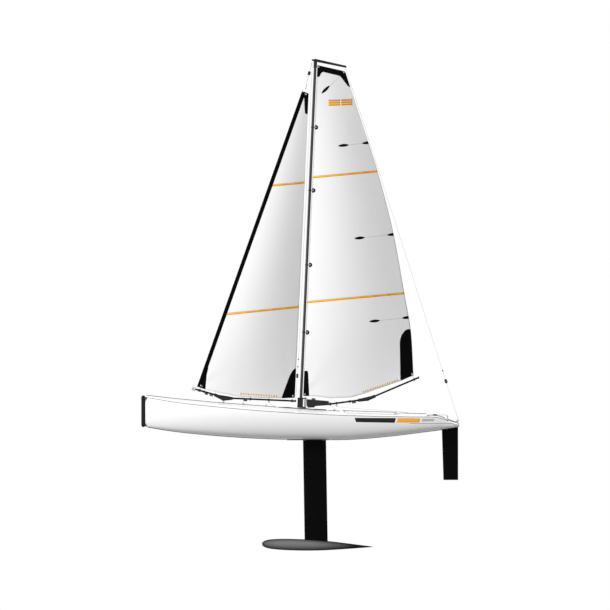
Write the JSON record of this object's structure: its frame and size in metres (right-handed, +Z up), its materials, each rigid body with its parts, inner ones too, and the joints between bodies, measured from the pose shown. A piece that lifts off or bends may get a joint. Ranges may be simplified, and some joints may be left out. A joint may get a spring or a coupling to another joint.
{
  "type": "radio-controlled racing yacht",
  "caption": "Radio-controlled model sailing yacht with swinging jib and mainsail, ballast keel, steered rudder, deck hatch and its radio gear inside.",
  "frame": {"origin": "underside of the hull on the centreplane, amid the root of the keel fin, where a display cradle holds it", "axes": "+Z up, +X towards the bow, +Y to port"},
  "size_m": [0.9496, 0.125, 1.469],
  "materials": {
    "battery_wrap": "shrink sleeve",
    "black_plastic": "moulded nylon",
    "black_rubber": "ribbed black rubber",
    "brass": "drawn tube",
    "bulb_paint": "satin grey paint over lead",
    "bumper_rubber": "soft black rubber",
    "deck_white": "satin moulded plastic",
    "fin_black": "smooth black composite",
    "fitting_plastic": "glass-filled nylon",
    "hull_white": "glossy moulded plastic",
    "line_dark": "braided line",
    "line_white": "braided line",
    "luff_tape": "black luff tape",
    "sail_film": "white ripstop sailcloth",
    "servo_black": "textured casing",
    "spar_black": "carbon fibre tube",
    "steel": "stainless steel",
    "tray_plastic": "moulded plate",
    "white_plastic": "moulded nylon"
  },
  "bodies": {
    "hull": {"hull_shell": "hull_white", "deck": "deck_white", "bow_bumper": "bumper_rubber", "deck_fittings": "white_plastic", "pushrod_boot": "black_rubber", "keel_root_plate": "black_plastic", "keel_trunk": "white_plastic", "keel_screws": "steel", "keel_fin": "fin_black", "ballast_bulb": "bulb_paint", "mast_base_plate": "black_plastic", "mast_tube": "spar_black", "mast_foot": "fitting_plastic", "gooseneck_pin": "steel", "mast_collars": "black_plastic", "masthead_crane": "fitting_plastic", "backstay": "line_white", "rudder_tube": "brass", "radio_tray": "tray_plastic", "winch_case": "servo_black", "rudder_servo_case": "servo_black", "tray_screws": "steel", "receiver": "servo_black", "battery_cells": "battery_wrap", "battery_cradle": "tray_plastic", "switch_case": "servo_black", "sheave_bracket": "white_plastic", "sheet_loop": "line_dark"},
    "main_rig": {"gooseneck_sleeve": "steel", "boom_vang": "fitting_plastic", "main_boom_tubes": "spar_black", "main_boom_elbow": "fitting_plastic", "main_boom_end_cap": "black_plastic", "main_boom_rings": "fitting_plastic", "mainsail": "sail_film", "main_luff_eyelets": "white_plastic", "main_sheet": "line_white"},
    "jib_rig": {"jib_counterweight": "steel", "jib_boom_tubes": "spar_black", "jib_boom_elbow": "fitting_plastic", "jib_boom_end_cap": "black_plastic", "jib_boom_rings": "fitting_plastic", "jib_sail": "sail_film", "jib_luff_sleeve": "luff_tape", "jib_halyard": "line_dark", "jib_head_swivel": "steel", "jib_line_beads": "black_plastic", "jib_topping_lift": "line_white", "jib_sheet": "line_white"},
    "rudder": {"rudder_blade": "fin_black", "rudder_stock": "steel", "tiller_arm": "white_plastic"},
    "servo_arm": {"rudder_servo_arm": "white_plastic"},
    "pushrod": {"rudder_pushrod": "steel"},
    "winch_drum": {"winch_drum": "fitting_plastic"},
    "turning_sheave": {"turning_sheave": "white_plastic"},
    "hatch": {"hatch_cover": "deck_white"},
    "power_switch": {"power_switch": "white_plastic"},
    "backstay_bowsie": {"backstay_bowsie": "fitting_plastic"},
    "topping_lift_bowsie": {"topping_lift_bowsie": "fitting_plastic"}
  },
  "joints": [
    {"name": "main_boom_swing", "type": "hinge", "parent": "hull", "child": "main_rig", "pos_m": [0.02762, 0, 0.10942], "axis": [-0.043, 0, 0.9991], "range_deg": [-80, 80], "deforming": ["main_sheet"]},
    {"name": "jib_boom_swing", "type": "hinge", "parent": "hull", "child": "jib_rig", "pos_m": [0.2721, 0, 0.1093], "axis": [-0.2518, 0, 0.9678], "range_deg": [-80, 80], "deforming": ["jib_sheet"]},
    {"name": "rudder_turn", "type": "hinge", "parent": "hull", "child": "rudder", "pos_m": [-0.395, 0, 0], "axis": [0, 0, 1], "range_deg": [-35, 35]},
    {"name": "servo_arm_turn", "type": "hinge", "parent": "hull", "child": "servo_arm", "pos_m": [-0.23, -0.028, 0.06], "axis": [0, 0, 1], "range_deg": [-35, 35]},
    {"name": "pushrod_pivot", "type": "hinge", "parent": "servo_arm", "child": "pushrod", "pos_m": [-0.23, -0.038, 0.06], "axis": [0, 0, 1], "range_deg": [-35, 35]},
    {"name": "winch_turn", "type": "hinge", "parent": "hull", "child": "winch_drum", "pos_m": [-0.127, 0, 0.053], "axis": [0, 0, 1], "range_deg": [-450, 450]},
    {"name": "sheave_turn", "type": "hinge", "parent": "hull", "child": "turning_sheave", "pos_m": [-0.3, 0, 0.056], "axis": [0, 0, 1], "range_deg": [-1228, 1228]},
    {"name": "hatch_lift", "type": "slide", "parent": "hull", "child": "hatch", "axis": [0, 0, 1], "range_m": [0, 0.014]},
    {"name": "power_switch_slide", "type": "slide", "parent": "hull", "child": "power_switch", "axis": [1, 0, 0], "range_m": [0, 0.006]},
    {"name": "backstay_bowsie_slide", "type": "slide", "parent": "hull", "child": "backstay_bowsie", "axis": [0.3046, 0, 0.9525], "range_m": [-0.02, 0.018]},
    {"name": "lift_bowsie_slide", "type": "slide", "parent": "jib_rig", "child": "topping_lift_bowsie", "axis": [-0.067, 0, 0.9978], "range_m": [-0.03, 0.014]}
  ],
  "couplings": [
    {"joint": "servo_arm_turn", "follows": "rudder_turn", "ratio": 1},
    {"joint": "pushrod_pivot", "follows": "rudder_turn", "ratio": -1},
    {"joint": "sheave_turn", "follows": "winch_turn", "ratio": 2.7288}
  ]
}
